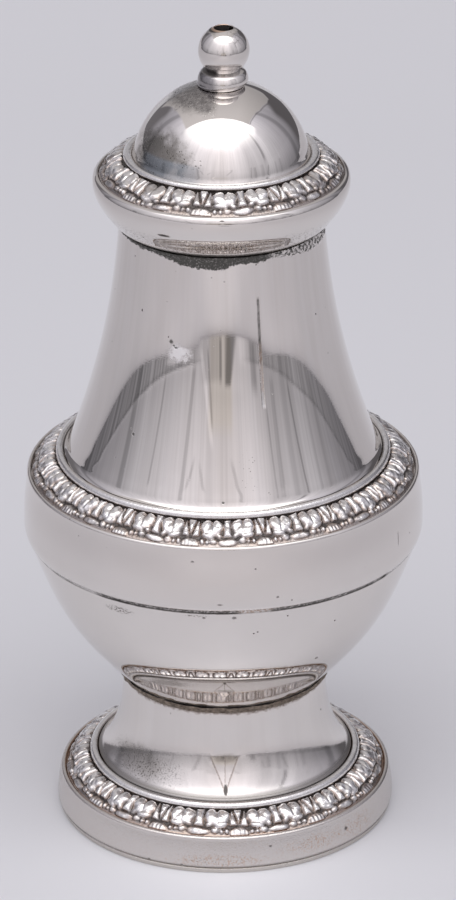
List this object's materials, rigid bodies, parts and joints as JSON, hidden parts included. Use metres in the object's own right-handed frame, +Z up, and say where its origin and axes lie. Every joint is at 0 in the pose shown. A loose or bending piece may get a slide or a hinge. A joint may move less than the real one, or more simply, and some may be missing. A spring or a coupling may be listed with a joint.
{
  "type": "pepper pot",
  "caption": "Baluster pepper pot in silver plate with a screw cap, a bored ball finial, a flared neck, a girdled bowl and a round spreading foot with ornament strips.",
  "frame": {"origin": "centre of the underside of the base ring, on the pot's axis, at the level of the table", "axes": "+Z up along the pot's axis towards the finial; -Y is the side that faces the picture; the pot is round, so X and Y are free"},
  "size_m": [0.0478, 0.0478, 0.0999],
  "materials": {
    "polished_plate": "polished silver plate, worn, with fine scratches, small pits and tarnish at the joints",
    "satin_plate": "silver plate with a soft lathe-turned satin sheen",
    "oxidised_relief": "stamped silver-plated relief, bright on top and dark oxidised in the recesses, copper showing at worn edges",
    "thread_metal": "thinly plated brass, dull",
    "solder": "rough tarnished solder",
    "fibre_washer": "pressed vulcanised fibre"
  },
  "bodies": {
    "pot": {"foot_base_ring": "satin_plate", "foot_rim": "polished_plate", "foot_ornament_band": "oxidised_relief", "foot_stem": "satin_plate", "stem_solder_bead": "solder", "bowl": "polished_plate", "body_seam_solder": "solder", "girdle": "polished_plate", "shoulder_ornament_band": "oxidised_relief", "neck": "polished_plate", "neck_screw_collar": "thread_metal"},
    "washer": {"cap_washer": "fibre_washer"},
    "cap": {"cap_thread_ring": "thread_metal", "cap_rim_moulding": "polished_plate", "cap_ornament_band": "oxidised_relief", "cap_dome": "polished_plate", "finial": "polished_plate"}
  },
  "joints": [
    {"name": "cap_lift", "type": "slide", "parent": "pot", "child": "washer", "axis": [0, 0, 1], "range_m": [0, 0.0052]},
    {"name": "cap_turn", "type": "hinge", "parent": "washer", "child": "cap", "pos_m": [0, 0, 0.0822], "axis": [0, 0, 1], "range_deg": [0, 1170]}
  ],
  "couplings": [
    {"joint": "cap_lift", "follows": "cap_turn", "m_per_rad": 0.00025464}
  ]
}
